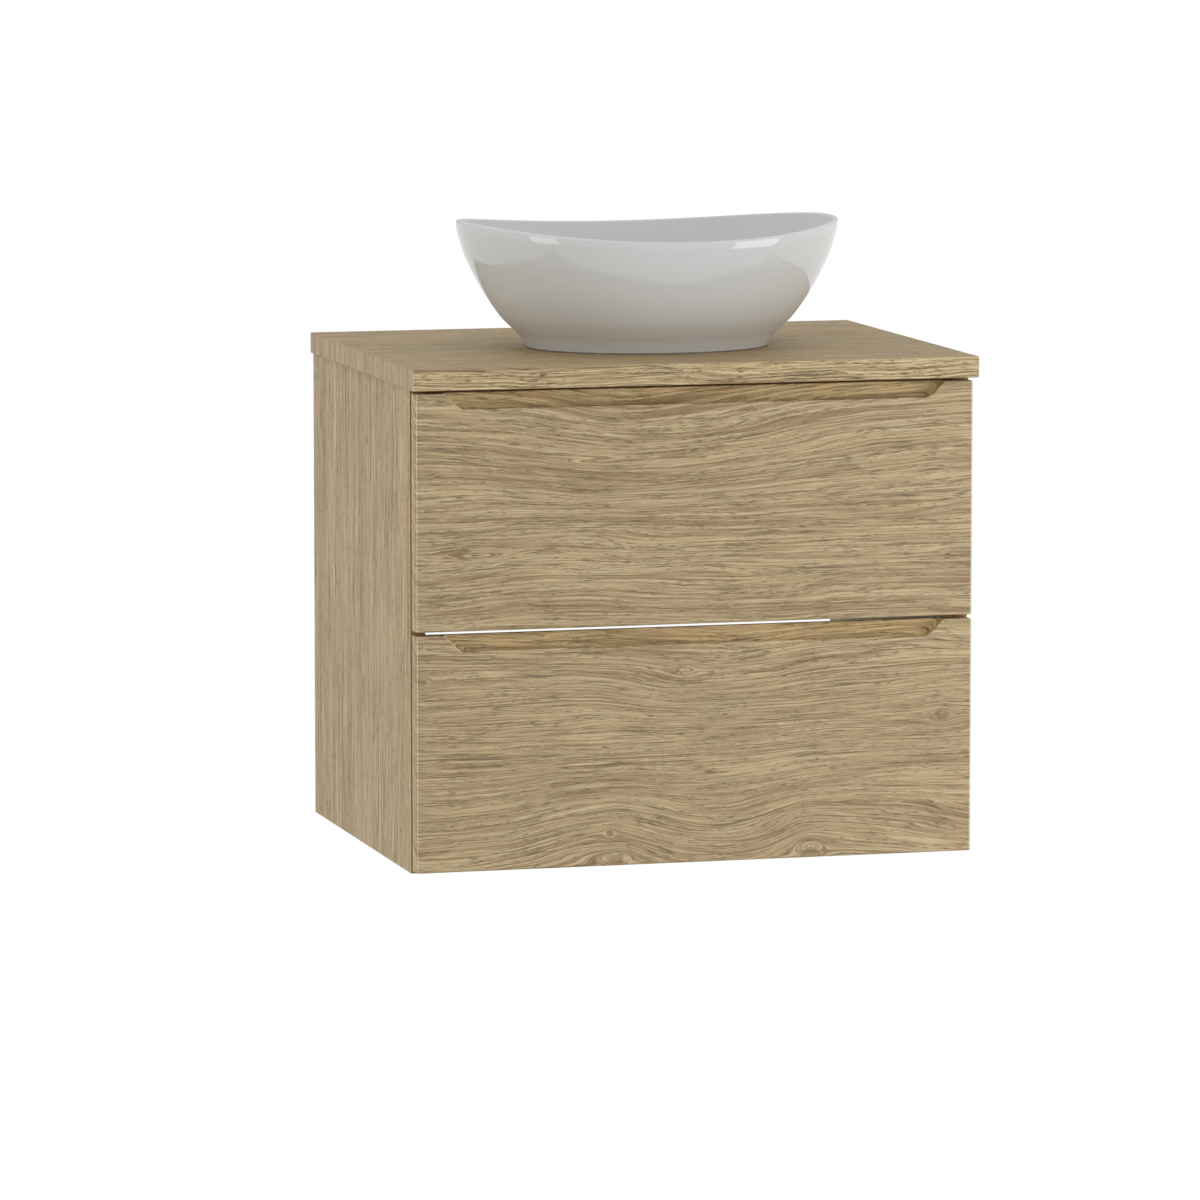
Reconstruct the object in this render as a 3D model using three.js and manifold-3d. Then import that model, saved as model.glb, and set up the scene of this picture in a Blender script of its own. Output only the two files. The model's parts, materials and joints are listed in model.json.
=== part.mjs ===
// A wall-hung bathroom vanity: an oak-finish cabinet with two full-extension drawers, a worktop, and an oval
// vessel basin with its click-clack waste and bottle trap. Millimetres, +Z up, +X to the right, front towards -Y.
// Heights are measured from the cabinet's underside and depths from the wall (y = 0, so all are negative).
// The finished group is then moved forward so that its origin is the middle of the worktop's footprint.
import * as THREE from "three";
import { mergeVertices } from "three/addons/utils/BufferGeometryUtils.js";
import Module from "manifold-3d";

const wasm = await Module();
wasm.setup();

// ---------------------------------------------------------------- driving dimensions
const cabinet = { width: 594, height: 496, sideDepth: 433, board: 16, rearRecess: 20 };
const carcassRail = { frontDepth: 80, rearHeight: 80, hangingHeight: 100, notchWidth: 24, notchDrop: 18 };
const worktop = { width: 600, depth: 460, thickness: 22 };
const front = { width: 592, height: 243, thickness: 18, standOff: 1.5, aboveUnderside: 2.5, between: 4 };
const grip = { halfTop: 265.5, drop: 16.5, cornerRadius: 7, pocket: 12, lip: 4.5, groove: 9 };
const rail = { halfLength: 278, bottom: 440, ledge: 470, top: 486, sheet: 2, standOff: 6 };
const hanger = {
  width: 22,
  depth: 60,
  bottom: 430,
  top: 482,
  wall: 8,
  slotBottom: 460,
  hookWidth: 14,
  hookSheet: 3,
  hookReach: 44,
  tailBottom: 468,
  catchBottom: 474,
  catchGap: 0.7,
  screwRadius: 4.5,
  screwHeight: { height: 456, depth: 440 },
};
const runner = { length: 388, frontY: -430, lowerHeight: 20, upperHeight: 253 };
const drawer = {
  sideThickness: 13,
  sideGap: 5,
  sideHeight: 128,
  sideRise: 6,
  wall: 1.2,
  rearY: -44,
  board: 16,
  boardRise: 26,
  backBoard: 12,
  fixingLength: 40,
  fixingMargin: 16,
};
const siphonBay = { clearWidth: 180, wall: 8, frontY: -332, cornerRadius: 24 };
const basin = {
  x: 3,
  y: -252,
  halfLength: 202,
  widthRatio: 0.812,
  endHeight: 132,
  midHeight: 118,
  bed: 1,
  rim: 6.5,
  floor: 21,
  recess: 9,
  recessLength: 114,
  footInner: 120,
  beadOuter: 126,
  beadInner: 122,
  holeRadius: 23,
};
const waste = {
  bodyRadius: 20,
  bore: 17,
  length: 95,
  flangeRadius: 33,
  flange: 3,
  capRadius: 30,
  lift: 8,
  stemRadius: 3.8,
  stemLength: 40,
  socketRadius: 8,
  socketBore: 4.6,
  socketDrop: 24,
  socketHeight: 12,
  worktopHole: 30,
};
const trap = {
  pipeRadius: 16,
  pipeBore: 14.4,
  bodyRadius: 31,
  cavity: 28.5,
  neck: 22,
  stubRadius: 20,
  nutRadius: 26,
  outletHeight: 364,
  cupBottom: 280,
  cupRadius: 34,
  cupFloor: 4,
  bodyLift: 36,
};
const ROUND = 32;
const CLEAR = 0.3;

const innerHalf = cabinet.width / 2 - cabinet.board;
const frontBackY = -cabinet.sideDepth - front.standOff;
const frontFaceY = frontBackY - front.thickness;
const lowerFrontZ = front.aboveUnderside;
const upperFrontZ = lowerFrontZ + front.height + front.between;
const worktopTop = cabinet.height + worktop.thickness;
const basinFoot = worktopTop + basin.bed;
const drainFloor = basinFoot + basin.floor;
const wasteEnd = drainFloor - waste.length;

// ---------------------------------------------------------------- materials
const finish = (color, roughness, metalness = 0) => new THREE.MeshStandardMaterial({ color, roughness, metalness });
const oakBoard = finish(0xaa9877, 0.6);
const oakFoil = finish(0xa99574, 0.55);
const whiteBoard = finish(0xe6e5e1, 0.5);
const greySteel = finish(0xb9bbbd, 0.4, 0.3);
const zincSteel = finish(0xa6a9ac, 0.35, 0.9);
const chrome = finish(0xd8dadc, 0.08, 1);
const whitePlastic = finish(0xeceded, 0.35);
const greyPlastic = finish(0x8d9092, 0.5);
const rubber = finish(0x2c2c2c, 0.8);
const silicone = finish(0xd9d9d5, 0.4);
const ceramic = finish(0xf1f1ee, 0.08);

// ---------------------------------------------------------------- geometry helpers
function box(x0, x1, y0, y1, z0, z1) {
  return new THREE.BoxGeometry(x1 - x0, y1 - y0, z1 - z0).translate((x0 + x1) / 2, (y0 + y1) / 2, (z0 + z1) / 2);
}

function outline(points) {
  return new THREE.Shape(points.map(([u, v]) => new THREE.Vector2(u, v)));
}

// A shape drawn in (y, z), extruded from x0 to x1.
function alongX(shape, x0, x1) {
  const made = new THREE.ExtrudeGeometry(shape, { depth: x1 - x0, bevelEnabled: false, curveSegments: 6 });
  return made.rotateX(Math.PI / 2).rotateZ(Math.PI / 2).translate(x0, 0, 0);
}

// A shape drawn in (x, z), extruded from y0 to y1.
function alongY(shape, y0, y1) {
  const made = new THREE.ExtrudeGeometry(shape, { depth: y1 - y0, bevelEnabled: false, curveSegments: 6 });
  return made.rotateX(Math.PI / 2).translate(0, y1, 0);
}

// A shape drawn in (x, y), extruded from z0 to z1.
function alongZ(shape, z0, z1) {
  const made = new THREE.ExtrudeGeometry(shape, { depth: z1 - z0, bevelEnabled: false, curveSegments: ROUND / 2 });
  return made.translate(0, 0, z0);
}

// A profile of [radius, height] points turned about the vertical axis.
function turned(profile, segments = ROUND) {
  const points = profile.map(([r, h]) => new THREE.Vector2(r, h));
  return new THREE.LatheGeometry(points, segments).rotateX(Math.PI / 2);
}

// A closed tube of revolution: the outer [radius, height] points going up, then the bore's going down.
function ring(outer, bore, segments = ROUND) {
  return turned([...outer, ...bore, outer[0]], segments);
}

function solid(geometry) {
  const bare = geometry.index ? geometry.toNonIndexed() : geometry.clone();
  bare.deleteAttribute("normal");
  bare.deleteAttribute("uv");
  const merged = mergeVertices(bare, 1e-3);
  return new wasm.Manifold(
    new wasm.Mesh({
      numProp: 3,
      vertProperties: merged.attributes.position.array,
      triVerts: new Uint32Array(merged.index.array),
    }),
  );
}

function geometryOf(manifold) {
  const mesh = manifold.getMesh();
  const made = new THREE.BufferGeometry();
  made.setAttribute("position", new THREE.BufferAttribute(mesh.vertProperties, 3));
  made.setIndex(new THREE.BufferAttribute(mesh.triVerts, 1));
  made.computeVertexNormals();
  return made;
}

function cut(geometry, ...cutters) {
  return geometryOf(cutters.reduce((left, cutter) => left.subtract(solid(cutter)), solid(geometry)));
}

function join(geometry, ...others) {
  return geometryOf(others.reduce((whole, other) => whole.add(solid(other)), solid(geometry)));
}

const assembly = new THREE.Group();
assembly.position.y = worktop.depth / 2;

function place(name, geometry, material, x = 0, y = 0, z = 0) {
  const mesh = new THREE.Mesh(geometry, material);
  mesh.name = name;
  mesh.position.set(x, y, z);
  assembly.add(mesh);
}

const sides = [
  ["left", -1],
  ["right", 1],
];

// A geometry made for the right-hand side, mirrored for the left with its faces turned back outwards.
function handed(geometry, sign) {
  if (sign > 0) return geometry;
  const made = geometry.index ? geometry.toNonIndexed() : geometry;
  made.scale(-1, 1, 1);
  const position = made.attributes.position;
  for (let i = 0; i < position.count; i += 3) {
    const [x, y, z] = [position.getX(i), position.getY(i), position.getZ(i)];
    position.setXYZ(i, position.getX(i + 1), position.getY(i + 1), position.getZ(i + 1));
    position.setXYZ(i + 1, x, y, z);
  }
  made.computeVertexNormals();
  return made;
}

// ---------------------------------------------------------------- carcass
function addCarcass() {
  const outerHalf = cabinet.width / 2;
  const railRear = -cabinet.rearRecess;
  const railFront = railRear - cabinet.board;
  const notch = innerHalf - carcassRail.notchWidth;
  for (const [side, sign] of sides) {
    const panel = box(innerHalf, outerHalf, -cabinet.sideDepth, 0, 0, cabinet.height);
    place(`side_panel_${side}`, handed(panel, sign), oakBoard);
  }
  place("bottom_panel", box(-innerHalf, innerHalf, -cabinet.sideDepth, railRear, 0, cabinet.board), oakBoard);
  const topZ = cabinet.height - cabinet.board;
  const frontRailRear = carcassRail.frontDepth - cabinet.sideDepth;
  const frontRail = box(-innerHalf, innerHalf, -cabinet.sideDepth, frontRailRear, topZ, cabinet.height);
  place("front_top_rail", frontRail, oakBoard);
  const lowRailTop = cabinet.board + carcassRail.rearHeight;
  place("rear_bottom_rail", box(-innerHalf, innerHalf, railFront, railRear, cabinet.board, lowRailTop), oakBoard);
  const hookNotch = cabinet.height - carcassRail.notchDrop;
  const rearTopBottom = cabinet.height - carcassRail.hangingHeight;
  const rearTop = outline([
    [-innerHalf, rearTopBottom],
    [innerHalf, rearTopBottom],
    [innerHalf, hookNotch],
    [notch, hookNotch],
    [notch, cabinet.height],
    [-notch, cabinet.height],
    [-notch, hookNotch],
    [-innerHalf, hookNotch],
  ]);
  place("rear_top_rail", alongY(rearTop, railFront, railRear), oakBoard);
}

// ---------------------------------------------------------------- hanging rail and hangers
function addHanging() {
  const wallFace = -rail.sheet;
  const lip = -rail.standOff;
  const railSection = outline([
    [0, rail.bottom],
    [0, rail.ledge],
    [lip, rail.ledge],
    [lip, rail.top],
    [lip - rail.sheet, rail.top],
    [lip - rail.sheet, rail.ledge - rail.sheet],
    [wallFace, rail.ledge - rail.sheet],
    [wallFace, rail.bottom],
  ]);
  place("hanging_rail", alongX(railSection, -rail.halfLength, rail.halfLength), zincSteel);

  const rear = -cabinet.rearRecess - cabinet.board - CLEAR;
  const faceY = rear - hanger.depth;
  const outer = innerHalf - CLEAR;
  const inner = outer - hanger.width;
  const middle = (outer + inner) / 2;
  const halfHook = hanger.hookWidth / 2;
  const armBottom = rail.top + CLEAR;
  const armTop = armBottom + hanger.hookSheet;
  const tailY = rear - hanger.hookReach;
  const catchFront = lip + hanger.catchGap;
  const catchRear = wallFace - hanger.catchGap;
  const hookSection = outline([
    [tailY, hanger.tailBottom],
    [tailY + hanger.hookSheet, hanger.tailBottom],
    [tailY + hanger.hookSheet, armBottom],
    [catchFront, armBottom],
    [catchFront, hanger.catchBottom],
    [catchRear, hanger.catchBottom],
    [catchRear, armTop],
    [tailY, armTop],
  ]);
  for (const [side, sign] of sides) {
    const shell = box(inner, outer, faceY, rear, hanger.bottom, hanger.top);
    const slotHalf = halfHook + 1;
    const slotFront = faceY + hanger.wall;
    const slot = box(middle - slotHalf, middle + slotHalf, slotFront, rear + 1, hanger.slotBottom, hanger.top + 1);
    place(`hanger_housing_${side}`, handed(cut(shell, slot), sign), greyPlastic);
    const hook = alongX(hookSection, middle - halfHook, middle + halfHook);
    place(`hanger_hook_${side}`, handed(hook, sign), zincSteel);
    for (const [use, z] of Object.entries(hanger.screwHeight)) {
      place(`hanger_${use}_screw_${side}`, screwHead(), zincSteel, sign * middle, faceY - CLEAR, z);
    }
  }
}

// A slotted adjusting screw's head, facing the front.
function screwHead() {
  const radius = hanger.screwRadius;
  const head = new THREE.CylinderGeometry(radius, radius, 3, 20).translate(0, -1.5, 0);
  return cut(head, box(-radius - 1, radius + 1, -4, -1.8, -0.6, 0.6));
}

// ---------------------------------------------------------------- worktop
function addWorktop() {
  const half = worktop.width / 2;
  const slab = outline([
    [-half, -worktop.depth],
    [half, -worktop.depth],
    [half, 0],
    [-half, 0],
  ]);
  slab.holes.push(new THREE.Path().absarc(basin.x, basin.y, waste.worktopHole, 0, 2 * Math.PI, true));
  place("worktop", alongZ(slab, cabinet.height, worktopTop), oakBoard);
}

// ---------------------------------------------------------------- drawer fronts
// The finger pull: a pocket with sloping ends, open at the top edge, and a groove that drops behind the front lip.
function gripPocket(topZ) {
  const floorZ = topZ - grip.drop;
  const halfFloor = grip.halfTop - grip.drop;
  const r = grip.cornerRadius * Math.tan(Math.PI / 8);
  const slope = r * Math.SQRT1_2;
  const shape = new THREE.Shape();
  shape.moveTo(-grip.halfTop - 2, topZ + 2);
  shape.lineTo(-halfFloor - slope, floorZ + slope);
  shape.quadraticCurveTo(-halfFloor, floorZ, -halfFloor + r, floorZ);
  shape.lineTo(halfFloor - r, floorZ);
  shape.quadraticCurveTo(halfFloor, floorZ, halfFloor + slope, floorZ + slope);
  shape.lineTo(grip.halfTop + 2, topZ + 2);
  return alongY(shape, frontFaceY - 1, frontFaceY + grip.pocket);
}

function drawerFront(bottomZ) {
  const topZ = bottomZ + front.height;
  const floorZ = topZ - grip.drop;
  const halfFloor = grip.halfTop - grip.drop - 4;
  const half = front.width / 2;
  const panel = box(-half, half, frontFaceY, frontBackY, bottomZ, topZ);
  const grooveFront = frontFaceY + grip.lip;
  const grooveRear = frontFaceY + grip.pocket;
  const groove = box(-halfFloor, halfFloor, grooveFront, grooveRear, floorZ - grip.groove, floorZ + 1);
  return cut(panel, gripPocket(topZ), groove);
}

// ---------------------------------------------------------------- runners
// Sections are [distance from the side panel, height above the runner's base].
const cabinetMember = [
  [0, 0],
  [44, 0],
  [44, 10],
  [42, 10],
  [42, 2],
  [22, 2],
  [22, 10],
  [20, 10],
  [20, 2],
  [2, 2],
  [2, 30],
  [0, 30],
];
const middleMember = [
  [25, 3],
  [39, 3],
  [39, 5],
  [33, 5],
  [33, 20],
  [39, 20],
  [39, 22],
  [25, 22],
  [25, 20],
  [31, 20],
  [31, 5],
  [25, 5],
];
const drawerMember = [
  [22.5, 8],
  [24.2, 8],
  [24.2, 23.8],
  [39.8, 23.8],
  [39.8, 8],
  [41.5, 8],
  [41.5, 25.5],
  [22.5, 25.5],
];

function addRunners(label, baseZ) {
  const sections = { cabinet: cabinetMember, middle: middleMember, drawer: drawerMember };
  for (const [side, sign] of sides) {
    for (const [member, section] of Object.entries(sections)) {
      const shape = outline(section.map(([d, h]) => [sign * (innerHalf - d), baseZ + h]));
      const bar = alongY(shape, runner.frontY, runner.frontY + runner.length);
      place(`${label}_runner_${member}_${side}`, bar, zincSteel);
    }
  }
}

// ---------------------------------------------------------------- drawer boxes
function drawerLevels(baseZ) {
  return {
    sideBottom: baseZ + drawer.sideRise,
    sideTop: baseZ + drawer.sideRise + drawer.sideHeight,
    boardBottom: baseZ + drawer.boardRise,
    boardTop: baseZ + drawer.boardRise + drawer.board,
  };
}

function rectangle(x0, x1, z0, z1, Kind = THREE.Shape) {
  return new Kind(
    [
      [x0, z0],
      [x1, z0],
      [x1, z1],
      [x0, z1],
    ].map(([x, z]) => new THREE.Vector2(x, z)),
  );
}

const boxOuter = innerHalf - drawer.sideGap;
const boxInner = boxOuter - drawer.sideThickness;

// The double-walled steel sides and the fixing blocks that plug into their front ends.
function addDrawerSides(label, baseZ) {
  const { sideBottom, sideTop } = drawerLevels(baseZ);
  const w = drawer.wall;
  for (const [side, sign] of sides) {
    const section = rectangle(boxInner, boxOuter, sideBottom, sideTop);
    section.holes.push(rectangle(boxInner + w, boxOuter - w, sideBottom + w, sideTop - w, THREE.Path));
    const profile = alongY(section, frontBackY, drawer.rearY);
    place(`${label}_drawer_side_${side}`, handed(profile, sign), greySteel);
    const [x0, x1] = [boxInner + w + CLEAR, boxOuter - w - CLEAR];
    const [z0, z1] = [sideBottom + drawer.fixingMargin, sideTop - drawer.fixingMargin];
    const block = box(x0, x1, frontBackY, frontBackY + drawer.fixingLength, z0, z1);
    place(`${label}_front_fixing_${side}`, handed(block, sign), whitePlastic);
  }
}

function addLowerDrawer() {
  const { boardBottom, boardTop, sideTop } = drawerLevels(runner.lowerHeight);
  const backFront = drawer.rearY - drawer.backBoard;
  addDrawerSides("lower", runner.lowerHeight);
  place("lower_drawer_front", drawerFront(lowerFrontZ), oakFoil);
  const base = box(-boxInner, boxInner, frontBackY, drawer.rearY, boardBottom, boardTop);
  place("lower_drawer_bottom", base, whiteBoard);
  place("lower_drawer_back", box(-boxInner, boxInner, backFront, drawer.rearY, boardTop, sideTop), whiteBoard);
}

// The upper drawer is cut away round the trap: a bay open to the rear, lined by one bent plastic wall.
function bayOutline(halfWidth, bayFront, rearY, cornerRadius) {
  const path = [[halfWidth, rearY]];
  const steps = 6;
  for (let i = 0; i <= steps; i++) {
    const a = (i / steps) * (Math.PI / 2);
    const x = halfWidth - cornerRadius * (1 - Math.cos(a));
    path.push([x, bayFront + cornerRadius * (1 - Math.sin(a))]);
  }
  const mirrored = path.map(([x, y]) => [-x, y]).reverse();
  return [...path, ...mirrored];
}

function addUpperDrawer() {
  const { boardBottom, boardTop, sideTop } = drawerLevels(runner.upperHeight);
  const backFront = drawer.rearY - drawer.backBoard;
  const innerWall = siphonBay.clearWidth / 2;
  const outerWall = innerWall + siphonBay.wall;
  const rearY = drawer.rearY;
  const { frontY, wall, cornerRadius: r } = siphonBay;
  addDrawerSides("upper", runner.upperHeight);
  place("upper_drawer_front", drawerFront(upperFrontZ), oakFoil);

  const cutAway = bayOutline(outerWall + CLEAR, frontY - wall - CLEAR, rearY, r + wall);
  const base = outline([[-boxInner, frontBackY], [boxInner, frontBackY], [boxInner, rearY], ...cutAway, [-boxInner, rearY]]);
  place("upper_drawer_bottom", alongZ(base, boardBottom, boardTop), whiteBoard);

  const outside = bayOutline(outerWall, frontY - wall, rearY, r + wall);
  const inside = bayOutline(innerWall, frontY, rearY, r).reverse();
  place("siphon_surround", alongZ(outline([...outside, ...inside]), boardBottom, sideTop), whitePlastic);

  for (const [side, sign] of sides) {
    const back = box(outerWall + CLEAR, boxInner, backFront, rearY, boardTop, sideTop);
    place(`upper_drawer_back_${side}`, handed(back, sign), whiteBoard);
  }
}

// ---------------------------------------------------------------- vessel basin
// Outer wall as [height above the foot, half length]; the width follows from the ratio.
const outerWall = [
  [0, 128.5],
  [5, 130.4],
  [12.5, 136],
  [21, 144.8],
  [34, 157.2],
  [59, 174.5],
  [93, 192],
  [basin.endHeight, basin.halfLength],
];
// Inner wall from the rim down to the drain, as [height above the foot, half length].
const innerWall = [
  [basin.endHeight, basin.halfLength - basin.rim],
  [93, 183],
  [59, 164],
  [36, 145],
  [26, 127],
  [22.5, 90],
  [basin.floor, 40],
];

function smoothCurve(points, steps) {
  const curve = new THREE.SplineCurve(points.map(([h, a]) => new THREE.Vector2(h, a)));
  return curve.getPoints(steps).map((p) => [p.x, p.y]);
}

// One closed loop round the basin: an ellipse that becomes a circle near the drain, and rises towards both ends
// of the bowl the closer it is to the rim.
function basinLoop(height, halfLength, segments) {
  const blend = THREE.MathUtils.smoothstep(halfLength, 40, 110);
  const halfWidth = halfLength * THREE.MathUtils.lerp(1, basin.widthRatio, blend);
  const share = Math.max(0, (height - 20) / (basin.endHeight - 20)) ** 1.5;
  const loop = [];
  for (let i = 0; i < segments; i++) {
    const angle = (i / segments) * 2 * Math.PI;
    const sag = (basin.endHeight - basin.midHeight) * Math.sin(angle) ** 2 * share;
    loop.push([halfLength * Math.cos(angle), halfWidth * Math.sin(angle), height - sag]);
  }
  return loop;
}

// Joins loops into one closed skin: each to the next, and the last back to the first.
function skin(loops) {
  const count = loops[0].length;
  const index = [];
  for (let i = 0; i < loops.length; i++) {
    const next = (i + 1) % loops.length;
    for (let j = 0; j < count; j++) {
      const k = (j + 1) % count;
      const [a, b, c, d] = [i * count + j, i * count + k, next * count + k, next * count + j];
      index.push(a, b, c, a, c, d);
    }
  }
  const made = new THREE.BufferGeometry();
  made.setAttribute("position", new THREE.Float32BufferAttribute(loops.flat(2), 3));
  made.setIndex(index);
  made.computeVertexNormals();
  return made;
}

function addBasin() {
  const segments = 64;
  const rimMiddle = basin.halfLength - basin.rim / 2;
  const section = [
    ...smoothCurve(outerWall, 11),
    [basin.endHeight + 1.2, rimMiddle],
    ...smoothCurve(innerWall, 9),
    [basin.floor, basin.holeRadius],
    [basin.recess, basin.holeRadius],
    [basin.recess, basin.recessLength],
    [0, basin.footInner],
  ];
  const loops = section.map(([h, a]) => basinLoop(h, a, segments));
  place("basin", skin(loops), ceramic, basin.x, basin.y, basinFoot);

  const { beadOuter, beadInner, widthRatio } = basin;
  const bead = new THREE.Shape().absellipse(0, 0, beadOuter, beadOuter * widthRatio, 0, 2 * Math.PI, false);
  bead.holes.push(new THREE.Path().absellipse(0, 0, beadInner, beadInner * widthRatio, 0, 2 * Math.PI, true));
  place("basin_sealant_bead", alongZ(bead, worktopTop, basinFoot), silicone, basin.x, basin.y);
}

// ---------------------------------------------------------------- click-clack waste
function washer(outer, inner, height) {
  const edge = [
    [outer, 0],
    [outer, height],
  ];
  return ring(edge, [
    [inner, height],
    [inner, 0],
  ]);
}

function cylinder(radius, z0, z1) {
  const made = new THREE.CylinderGeometry(radius, radius, z1 - z0, ROUND);
  return made.rotateX(Math.PI / 2).translate(0, 0, (z0 + z1) / 2);
}

function hexNut(radius, bore, height) {
  const block = new THREE.CylinderGeometry(radius, radius, height, 6).rotateX(Math.PI / 2);
  return cut(block.translate(0, 0, height / 2), cylinder(bore, -1, height + 1));
}

function addWaste() {
  const { bodyRadius: r, bore, length, flangeRadius, flange, capRadius, lift, stemRadius, stemLength } = waste;
  const at = [basin.x, basin.y];
  const top = length + flange;
  const outer = [
    [r, 0],
    [r, length],
    [flangeRadius, length],
    [flangeRadius, length + 1],
    [flangeRadius - 3, top],
  ];
  const tube = ring(outer, [
    [bore, top],
    [bore, 0],
  ]);
  const socketTop = length - waste.socketDrop;
  const socketBottom = socketTop - waste.socketHeight;
  const crossBar = box(-bore - 1, bore + 1, -2, 2, socketBottom, socketTop);
  const socket = cylinder(waste.socketRadius, socketBottom, socketTop);
  const stemHole = cylinder(waste.socketBore, socketBottom - 1, socketTop + 1);
  const body = cut(join(tube, crossBar, socket), stemHole);
  place("waste_body", body, chrome, ...at, wasteEnd);

  const cap = turned([
    [0, -stemLength],
    [stemRadius, -stemLength],
    [stemRadius, -4],
    [9, -1],
    [14, 0],
    [capRadius, 0],
    [capRadius, 2],
    [22, 4.2],
    [12, 5],
    [0, 5.3],
  ]);
  place("waste_plug", cap, chrome, ...at, drainFloor + flange + lift);

  const gasket = 2;
  const nut = 12;
  place("waste_gasket", washer(36, r + CLEAR, gasket), rubber, ...at, cabinet.height - gasket);
  place("waste_locknut", hexNut(30, r + CLEAR, nut), chrome, ...at, cabinet.height - gasket - nut);
}

// ---------------------------------------------------------------- bottle trap
// A union nut: a wide bore over the threaded end, up to the step, and a narrow bore over the pipe above it.
function unionNut(outer, wideBore, step, height) {
  const narrow = trap.pipeRadius + 0.4;
  const skirt = [
    [outer, 0],
    [outer, height - 2],
    [outer - 2, height],
  ];
  return ring(skirt, [
    [narrow, height],
    [narrow, step],
    [wideBore, step],
    [wideBore, 0],
  ]);
}

function towardsWall(geometry) {
  return geometry.rotateX(-Math.PI / 2);
}

function addTrap() {
  const { pipeRadius: r, pipeBore, bodyRadius, cavity, neck, stubRadius, nutRadius, outletHeight } = trap;
  const { cupBottom, cupRadius, cupFloor, bodyLift } = trap;
  const at = [basin.x, basin.y];
  const bodyBottom = cupBottom + bodyLift;
  const shoulder = 62;
  const bodyTop = shoulder + 24;
  const loose = r + 0.4;

  const inletNut = unionNut(nutRadius, waste.bodyRadius + CLEAR, 14, 18).rotateX(Math.PI);
  place("trap_inlet_nut", inletNut, chrome, ...at, wasteEnd + 10);

  const dipEnd = cupBottom + 20;
  const dip = wasteEnd - CLEAR - dipEnd;
  const collar = 3.4;
  const pipe = [
    [r, 0],
    [r, dip - collar],
    [waste.bodyRadius - 0.5, dip - collar],
    [waste.bodyRadius - 0.5, dip],
  ];
  const inletPipe = ring(pipe, [
    [pipeBore, dip],
    [pipeBore, 0],
  ]);
  place("trap_inlet_pipe", inletPipe, chrome, ...at, dipEnd);

  const shell = turned([
    [0, 0],
    [bodyRadius, 0],
    [bodyRadius, shoulder],
    [neck, shoulder + 10],
    [neck, bodyTop],
    [0, bodyTop],
  ]);
  const hollow = turned([
    [0, -1],
    [cavity, -1],
    [cavity, shoulder - 1],
    [loose, shoulder + 11],
    [loose, bodyTop + 1],
    [0, bodyTop + 1],
  ]);
  const outletZ = outletHeight - bodyBottom;
  const stubEnd = 56;
  const stub = towardsWall(cylinder(stubRadius, 0, stubEnd)).translate(0, 0, outletZ);
  const stubBore = towardsWall(cylinder(loose, 0, stubEnd + 1)).translate(0, 0, outletZ);
  place("trap_body", cut(join(shell, stub), hollow, stubBore), chrome, ...at, bodyBottom);

  const bodyNut = unionNut(28, neck + CLEAR, 13, 17);
  place("trap_body_nut", bodyNut, chrome, ...at, bodyBottom + bodyTop + CLEAR - 13);

  const overlap = 44;
  const cup = turned([
    [0, 0],
    [20, 0],
    [31, 7],
    [cupRadius, 12],
    [cupRadius, overlap],
    [bodyRadius + CLEAR, overlap],
    [bodyRadius + CLEAR, bodyLift - CLEAR],
    [cavity, bodyLift - CLEAR],
    [cavity, 10],
    [19, cupFloor],
    [0, cupFloor],
  ]);
  place("trap_cup", cup, chrome, ...at, cupBottom);

  const stubY = basin.y + stubEnd;
  const outletNut = towardsWall(unionNut(nutRadius, stubRadius + CLEAR, 12, 16));
  place("trap_outlet_nut", outletNut, chrome, basin.x, stubY + CLEAR - 12, outletHeight);
  const pipeStart = stubY - 20;
  const outletPipe = towardsWall(washer(r, pipeBore, -pipeStart));
  place("trap_outlet_pipe", outletPipe, chrome, basin.x, pipeStart, outletHeight);
  const rosette = [
    [24, 0],
    [34, 5],
    [36, 8],
  ];
  const wallFlange = ring(rosette, [
    [loose, 8],
    [loose, 0],
  ]);
  place("trap_wall_flange", towardsWall(wallFlange), chrome, basin.x, -8, outletHeight);
}

addCarcass();
addHanging();
addWorktop();
addRunners("lower", runner.lowerHeight);
addRunners("upper", runner.upperHeight);
addLowerDrawer();
addUpperDrawer();
addBasin();
addWaste();
addTrap();

const vanity = new THREE.Group();
vanity.add(assembly);
export default vanity;
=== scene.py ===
"""The looks of a wall-hung vanity with a vessel basin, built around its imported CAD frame."""

import json
import math

import bmesh
import bpy
import numpy as np
from mathutils import Matrix, Vector

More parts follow.
